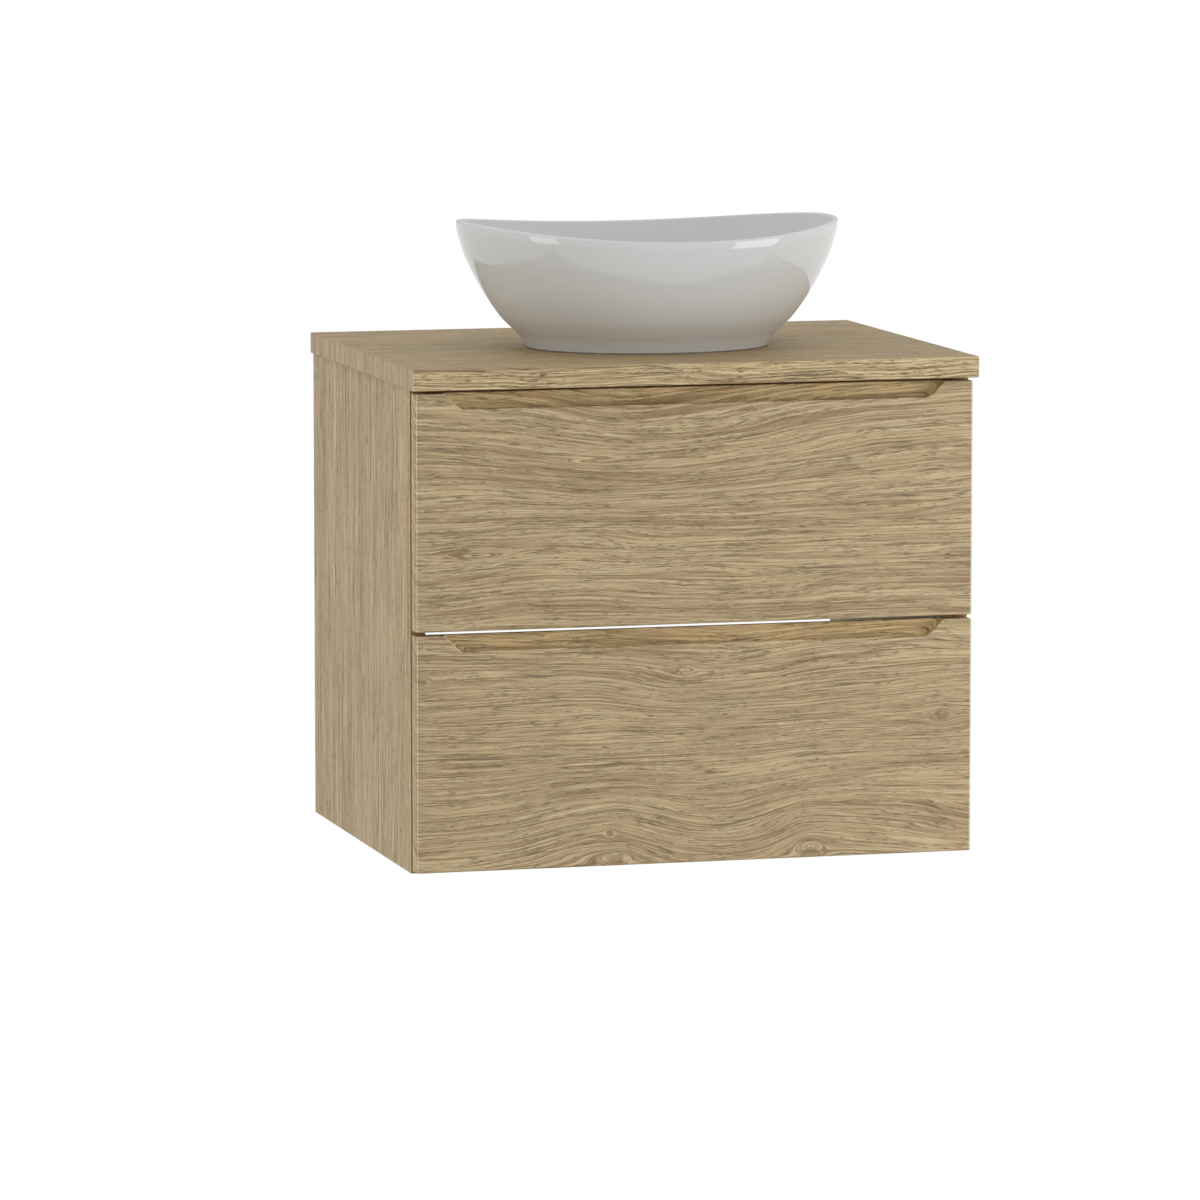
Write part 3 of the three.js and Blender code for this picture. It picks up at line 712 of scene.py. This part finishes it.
def grip_depth(x):
    """How far the finger pull's floor lies below the front's top edge at x, with rounded lower corners."""
    slope = GRIP_HALF_TOP - abs(x)
    if slope < GRIP_DROP - GRIP_BLEND:
        return max(0.0, slope)
    if slope > GRIP_DROP + GRIP_BLEND:
        return GRIP_DROP
    t = (slope - GRIP_DROP + GRIP_BLEND) / (2 * GRIP_BLEND)
    return GRIP_DROP - GRIP_BLEND * (1 - t) ** 2


def arc(centre_y, centre_z, radius, start, end, steps):
    """Points of an arc in the (depth, height) plane, angles in degrees from +depth towards +height."""
    made = []
    for k in range(steps + 1):
        a = math.radians(start + (end - start) * k / steps)
        made.append((centre_y + radius * math.cos(a), centre_z + radius * math.sin(a)))
    return made


def front_section(x, height, thickness, inset):
    """The front's closed cross-section at x, as (depth behind the face, height below the top edge)."""
    depth = grip_depth(x)
    groove = smooth_step((GRIP_HALF_TOP - GRIP_DROP - GRIP_BLEND - abs(x)) / GROOVE_RUN_OUT)
    e = LIP_EDGE
    lip_front = arc(e, -depth - e, e, 180, 90, 4)
    lip_rear = arc(GRIP_LIP - e, -depth - e, e, 90, 0, 4)
    half = (GRIP_POCKET - GRIP_LIP) / 2
    trough = arc(GRIP_LIP + half, -depth - GRIP_GROOVE + half, half, 180, 360, 10)
    grooved = lip_rear + trough
    flat_count = len(lip_rear)
    cove_top = 90.0
    if depth < GRIP_COVE + e:
        cove_top = math.degrees(math.acos(min(1.0, max(0.0, (GRIP_COVE - depth + e) / GRIP_COVE))))
    cove_y, cove_z = GRIP_POCKET - GRIP_COVE, -depth + GRIP_COVE
    plain = [(GRIP_LIP - e + (cove_y - GRIP_LIP + e) * k / flat_count, -depth) for k in range(flat_count)]
    plain += arc(cove_y, cove_z, GRIP_COVE, -90, -90 + cove_top, 10)
    middle = [tuple(np.array(p) * (1 - groove) + np.array(g) * groove) for p, g in zip(plain, grooved)]
    wall_y, wall_z = middle[-1]
    if depth > 0:
        r = GRIP_WALL_EDGE
        wall = [(wall_y, wall_z + (-r - wall_z) * k / 3) for k in (1, 2)]
        wall += arc(wall_y + r, -r, r, 180, 90, 3)
    else:
        middle = [(y, 0.0) for y, _ in middle]
        wall = [(wall_y + 0.2 * k, 0.0) for k in range(1, 7)]
    back = arc(thickness - e, -e, e, 90, 0, 3) + arc(thickness - e, -height + e, e, 0, -90, 3)
    foot = arc(FRONT_EDGE, -height + FRONT_EDGE, FRONT_EDGE, 270, 180, 4)
    loop = lip_front + middle + wall + back + foot
    return [(min(max(y, inset), thickness - inset), min(max(z, inset - height), -inset)) for y, z in loop]


def front_stations(half):
    """Places along x where the section is taken: close together where the shape changes."""
    ends = [half - FRONT_EDGE * (1 - math.cos(math.radians(a))) for a in (0, 22.5, 45, 67.5, 90)]
    slope_foot = GRIP_HALF_TOP - GRIP_DROP
    stations = ends + [GRIP_HALF_TOP + 1.5, GRIP_HALF_TOP]
    stations += [GRIP_HALF_TOP - LIP_EDGE - SLOPE_STEP * k for k in range(10)]
    stations += [slope_foot + GRIP_BLEND - CORNER_STEP * k for k in range(13)]
    stations += [PLAIN_STEP * k for k in range(11)]
    stations = sorted({round(s, 3) for s in stations}, reverse=True)
    return [-s for s in stations] + [s for s in reversed(stations) if s > 0]


def build_front(node, material):
    """A drawer front: its section, with the finger pull milled in the top edge, carried along x."""
    low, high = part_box(node)
    half = (high.x - low.x) / 2 / MM
    middle_x = (high.x + low.x) / 2
    height, thickness = (high.z - low.z) / MM, (high.y - low.y) / MM
    loops = []
    for x in front_stations(half):
        near = half - abs(x)
        inset = 0.0
        if near < FRONT_EDGE:
            inset = FRONT_EDGE - math.sqrt(max(0.0, FRONT_EDGE**2 - (FRONT_EDGE - near) ** 2))
        section = front_section(x, height, thickness, inset)
        loops.append([(middle_x + x * MM, low.y + y * MM, high.z + z * MM) for y, z in section])
    vertices, faces = loops_to_mesh(loops, cap_ends=True)
    piece = link_mesh(f"{node}_panel", vertices, faces, material, 40)
    weigh_normals(piece)
    return stand_for(piece, node)


# ------------------------------------------------------------------ basin
# The basin's section is given as (height, half length along x), in millimetres.
BASIN_RATIO = 0.812  # its width over its length
ROUND_LENGTH, OVAL_LENGTH = 40, 110  # half lengths up to which it is round, and from which it is fully oval
BASIN_FOOT = 128.5
BASIN_FOOT_EDGE = 1.8
BASIN_SAG = 14.0  # how far the rim dips at the front and back
SAG_START, SAG_END = 20, 1.2  # the dip grows from this height up, and is whole this far below the top
BASIN_SEGMENTS = 176
RIM_RADIUS = 3.25
OUTER_WALL = [(5, 130.4), (12.5, 136), (21, 144.8), (34, 157.2), (59, 174.5), (93, 192), (120, 200.6)]
INNER_WALL = [(93, 183), (59, 164), (36, 145), (26, 127), (22.5, 90)]
DRAIN_FLOOR, DRAIN_RADIUS = 21, 23
FOOT_HOLLOW, FOOT_HOLLOW_LENGTH = 9, 114


def spline(points, per_span=8):
    """A smooth curve through the points (Catmull-Rom), without repeats."""
    points = [np.array(p, float) for p in points]
    padded = [2 * points[0] - points[1]] + points + [2 * points[-1] - points[-2]]
    made = []
    for a, b, c, d in zip(padded, padded[1:], padded[2:], padded[3:]):
        for k in range(per_span):
            t = k / per_span
            square, cube = 2 * a - 5 * b + 4 * c - d, 3 * b - a - 3 * c + d
            made.append(0.5 * (2 * b + (c - a) * t + square * t**2 + cube * t**3))
    made.append(points[-1])
    return [tuple(p) for p in made]


def basin_section(rim, half_length):
    """The basin's closed section through its length: foot, outer wall, rim, bowl, drain and hollow foot."""
    r = BASIN_FOOT_EDGE
    edge_angles = np.radians([0, 22.5, 45, 67.5, 90])
    section = [(r - r * math.cos(a), BASIN_FOOT - r + r * math.sin(a)) for a in edge_angles]
    section += spline([section[-1], *OUTER_WALL, (rim, half_length)])[1:]
    rim_middle = half_length - RIM_RADIUS
    for a in np.radians(np.arange(15, 180, 15)):
        section.append((rim + RIM_RADIUS * math.sin(a), rim_middle + RIM_RADIUS * math.cos(a)))
    section += spline([(rim, half_length - 2 * RIM_RADIUS), *INNER_WALL, (DRAIN_FLOOR, ROUND_LENGTH)])
    section += [(DRAIN_FLOOR, 34), (DRAIN_FLOOR, DRAIN_RADIUS + 1.5), (DRAIN_FLOOR - 0.5, DRAIN_RADIUS + 0.5)]
    section += [(DRAIN_FLOOR - 1.5, DRAIN_RADIUS), (FOOT_HOLLOW, DRAIN_RADIUS), (FOOT_HOLLOW, 60)]
    section += [(FOOT_HOLLOW, FOOT_HOLLOW_LENGTH - 1), (FOOT_HOLLOW - 1, FOOT_HOLLOW_LENGTH)]
    return section + [(1, 119.5), (0, 121)]


def build_basin(m):
    """The bowl: oval sections that turn round towards the drain. Its rim dips at the front and back."""
    low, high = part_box("basin")
    centre = (low + high) / 2
    top = (high.z - low.z) / MM
    sag_span = top - SAG_END - SAG_START
    loops = []
    for height, length in basin_section(top - RIM_RADIUS, (high.x - low.x) / 2 / MM):
        oval = smooth_step((length - ROUND_LENGTH) / (OVAL_LENGTH - ROUND_LENGTH))
        width = length * (1 + (BASIN_RATIO - 1) * oval)
        share = max(0.0, (height - SAG_START) / sag_span) ** 1.5
        loop = []
        for k in range(BASIN_SEGMENTS):
            a = 2 * math.pi * k / BASIN_SEGMENTS
            z = height - BASIN_SAG * math.sin(a) ** 2 * share
            x, y = length * math.cos(a), width * math.sin(a)
            loop.append((centre.x + x * MM, centre.y + y * MM, low.z + z * MM))
        loops.append(loop)
    vertices, faces = loops_to_mesh(loops, close=True)
    piece = link_mesh("basin_bowl", vertices, faces, m["glaze"], 60)
    stand_for(piece, "basin")
    dress("basin_sealant_bead", m["silicone"], 0)


# ------------------------------------------------------------------ waste and trap
def centre_of(node):
    """The middle of the node's underside."""
    low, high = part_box(node)
    return Vector(((low.x + high.x) / 2, (low.y + high.y) / 2, low.z))


BORE, TUBE, FLANGE = 17, 20, 33  # radii
FLANGE_THICKNESS = 3
# The plug's stem and domed cap, as (radius, height below its top).
PLUG = [(0, -45.3), (3.4, -45.3), (3.8, -44.9), (3.8, -9.3), (9, -6.3), (14, -5.3), (29.2, -5.3)]
PLUG += [(30, -4.6), (30, -3.6), (28.5, -2.6), (22, -1.1), (12, -0.3), (0, 0)]


def build_waste(m):
    """The waste's flanged tube and plug turned anew, and its gasket and nut as the CAD has them."""
    base = centre_of("waste_body")
    height = (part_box("waste_body")[1].z - base.z) / MM
    flange_low = height - FLANGE_THICKNESS
    profile = [(BORE, 0), (TUBE, 0), (TUBE, flange_low), (FLANGE, flange_low), (FLANGE, flange_low + 1)]
    profile += [(29.5, height), (17.6, height), (BORE, flange_low)]
    tube = turned("waste_tube", round_corners(profile, 0.6), m["chrome"], base)
    stand_for(tube, "waste_body")
    plug_top = Vector((base.x, base.y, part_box("waste_plug")[1].z))
    stand_for(turned("waste_cap", PLUG, m["chrome"], plug_top, smooth_angle=45), "waste_plug")
    dress("waste_gasket", m["rubber"], 0.3 * MM)
    dress("waste_locknut", m["chrome"], 0.6 * MM)


def build_trap(m):
    """The bottle trap, as the CAD has it, in chrome."""
    for piece in ("inlet_nut", "inlet_pipe", "body", "body_nut", "cup", "outlet_nut"):
        dress(f"trap_{piece}", m["chrome"], 0.4 * MM)
    for piece in ("outlet_pipe", "wall_flange"):
        dress(f"trap_{piece}", m["chrome"], 0.3 * MM)


# ------------------------------------------------------------------ drawers, runners, hanging parts
def build_drawers(m):
    """Both drawers with their steel sides, boards, fixings and runners."""
    build_front("upper_drawer_front", m["oak_upper_front"])
    build_front("lower_drawer_front", m["oak_lower_front"])
    for level in ("upper", "lower"):
        for side in ("left", "right"):
            dress(f"{level}_drawer_side_{side}", m["grey_steel"], 0.5 * MM)
            dress(f"{level}_front_fixing_{side}", m["white_plastic"], 0.6 * MM)
            for member in ("cabinet", "middle", "drawer"):
                dress(f"{level}_runner_{member}_{side}", m["zinc_steel"], 0.3 * MM)
    board("lower_drawer_bottom", m["white_board"], 0.4 * MM)
    board("lower_drawer_back", m["white_board"], 0.4 * MM)
    dress("upper_drawer_bottom", m["white_board"], 0.4 * MM)
    dress("siphon_surround", m["white_plastic"], 0.8 * MM)
    for side in ("left", "right"):
        board(f"upper_drawer_back_{side}", m["white_board"], 0.4 * MM)


def build_hanging(m):
    """The wall rail and the two hangers with their adjusting screws."""
    dress("hanging_rail", m["rail_steel"], 0.4 * MM)
    for side in ("left", "right"):
        dress(f"hanger_housing_{side}", m["grey_plastic"], 0.8 * MM)
        dress(f"hanger_hook_{side}", m["zinc_steel"], 0.4 * MM)
        for use in ("height", "depth"):
            dress(f"hanger_{use}_screw_{side}", m["zinc_steel"], 0.2 * MM)


# Half sections as (radius, height): a screw's pan head with a socket, and a low round cap.
SCREW_HEAD = [(0, 0.6), (1.4, 0.6), (1.68, 1.6), (2.8, 1.35), (3.8, 0.5), (4, 0), (0, 0)]
CAP = [(0, 0), (4.2, 0), (4.2, 0.5), (3.7, 0.9), (1.0, 1.0), (0, 1.0)]
RAIL_SHEET = 2
RAIL_SCREW_RISE = 12
RAIL_SCREW_SHARES = (0.06, 0.36, 0.64, 0.94)  # of the rail's length
CAP_REACHES = (20, 32)  # from the drawer side's front end
CAP_RISE = 92


def build_screws(m):
    """Screws through the hanging rail into the wall, and the caps over the drawer fronts' fixings."""
    rail_low, rail_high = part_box("hanging_rail")
    head = [(radius, -height) for radius, height in SCREW_HEAD]
    for i, share in enumerate(RAIL_SCREW_SHARES):
        x = rail_low.x + (rail_high.x - rail_low.x) * share
        place = Vector((x, rail_high.y - RAIL_SHEET * MM, rail_low.z + RAIL_SCREW_RISE * MM))
        screw = turned(f"wall_screw_{i + 1}", head, m["zinc_steel"], place, axis="Y", segments=24)
        add_to(screw, "cabinet")
    for level in ("lower", "upper"):
        for side, sign in (("left", -1), ("right", 1)):
            low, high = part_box(f"{level}_drawer_side_{side}")
            inner_x = high.x if sign < 0 else low.x
            for i, reach in enumerate(CAP_REACHES):
                place = Vector((inner_x, low.y + reach * MM, low.z + CAP_RISE * MM))
                name = f"{level}_cap_{side}_{i + 1}"
                cap = turned(name, CAP, m["grey_plastic"], Vector((0, 0, 0)), segments=28)
                cap.data.transform(Matrix.Translation(place) @ Matrix.Rotation(-sign * math.pi / 2, 4, "Y"))
                add_to(cap, f"{level}_drawer")


# ------------------------------------------------------------------ floor and light, in metres
FLOOR_DROP = 0.34
FLOOR_HALF = 30.0
HORIZON_STRENGTH = 0.56
OVERHEAD_STRENGTH = 0.86
SOFTBOX_DISTANCE = 1.75
SOFTBOX_TOP = 0.86


def maths(tree, operation, first, second):
    """A Math node with two inputs, each a socket or a number, in the floor's or the world's tree."""
    node = tree.nodes.new("ShaderNodeMath")
    node.operation = operation
    for socket, value in zip(node.inputs, (first, second)):
        if isinstance(value, bpy.types.NodeSocket):
            tree.links.new(value, socket)
        else:
            socket.default_value = value
    return node.outputs[0]


def white_to_the_camera(tree, lit_shader, out_socket, mirrored=1.0):
    """The camera sees plain white, and so do mirror reflections where mirrored is 1. Everything else sees the
    lit surface."""
    nodes, links = tree.nodes, tree.links
    path = nodes.new("ShaderNodeLightPath")
    is_world = "World" in out_socket.node.bl_idname
    white = nodes.new("ShaderNodeBackground" if is_world else "ShaderNodeEmission")
    white.inputs["Strength"].default_value = 1.0
    both = nodes.new("ShaderNodeMixShader")
    reflected = maths(tree, "MULTIPLY", path.outputs["Is Glossy Ray"], mirrored)
    links.new(maths(tree, "MAXIMUM", path.outputs["Is Camera Ray"], reflected), both.inputs[0])
    links.new(lit_shader, both.inputs[1])
    links.new(white.outputs[0], both.inputs[2])
    links.new(both.outputs[0], out_socket)


def make_floor():
    """A wide matt floor below the wall-hung part, which sends light up to it."""
    signs = ((-1, -1), (1, -1), (1, 1), (-1, 1))
    corners = [(x * FLOOR_HALF, y * FLOOR_HALF, -FLOOR_DROP) for x, y in signs]
    g = Graph("floor")
    g.set(Base_Color=srgb(196, 196, 196), Roughness=0.8)
    surface = g.nodes["Material Output"].inputs["Surface"]
    white_to_the_camera(g.material.node_tree, g.shader.outputs[0], surface)
    floor = link_mesh("floor", corners, [(0, 1, 2, 3)], g.material)


def make_world():
    """Even studio surroundings that are brighter overhead. Mirror reflections see white below the horizon."""
    world = bpy.data.worlds.new("studio")
    world.use_nodes = True
    bpy.context.scene.world = world
    tree = world.node_tree
    nodes, links = tree.nodes, tree.links
    coordinates = nodes.new("ShaderNodeTexCoord")
    split = nodes.new("ShaderNodeSeparateXYZ")
    links.new(coordinates.outputs["Generated"], split.inputs[0])
    level = nodes.new("ShaderNodeMapRange")
    for socket, value in zip(level.inputs[1:], (0.0, 0.9, HORIZON_STRENGTH, OVERHEAD_STRENGTH)):
        socket.default_value = value
    links.new(split.outputs["Z"], level.inputs[0])
    lit = nodes["Background"]
    lit.inputs["Color"].default_value = (1.0, 0.995, 0.985, 1)
    links.new(level.outputs[0], lit.inputs["Strength"])
    below = maths(tree, "LESS_THAN", split.outputs["Z"], 0.0)
    white_to_the_camera(tree, lit.outputs[0], nodes["World Output"].inputs["Surface"], below)


def softbox(name, azimuth, width, low, power):
    """An upright area light on the front side, azimuth degrees to the right of straight ahead."""
    data = bpy.data.lights.new(name, "AREA")
    data.shape = "RECTANGLE"
    data.size, data.size_y = width, SOFTBOX_TOP - low
    data.energy = power
    light = bpy.data.objects.new(name, data)
    a = math.radians(azimuth)
    aim = centre_of("basin")
    aside, ahead = SOFTBOX_DISTANCE * math.sin(a), SOFTBOX_DISTANCE * math.cos(a)
    light.location = (aim.x + aside, aim.y - ahead, (low + SOFTBOX_TOP) / 2)
    light.rotation_euler = (math.radians(90), 0, a)
    light.visible_camera = False
    bpy.context.scene.collection.objects.link(light)


def make_studio():
    """The floor, the surroundings and two softboxes in front of the part, seen without a film look."""
    view = bpy.context.scene.view_settings
    view.view_transform, view.look = "Standard", "None"
    make_floor()
    make_world()
    softbox("softbox_left", -63, 0.54, -0.02, 4.2)
    softbox("softbox_right", 51.5, 0.82, -0.10, 8.6)


# ------------------------------------------------------------------ the whole scene
def main():
    make_camera()
    materials = make_materials()
    build_carcass(materials)
    build_drawers(materials)
    build_basin(materials)
    build_waste(materials)
    build_trap(materials)
    build_hanging(materials)
    build_screws(materials)
    make_studio()


main()
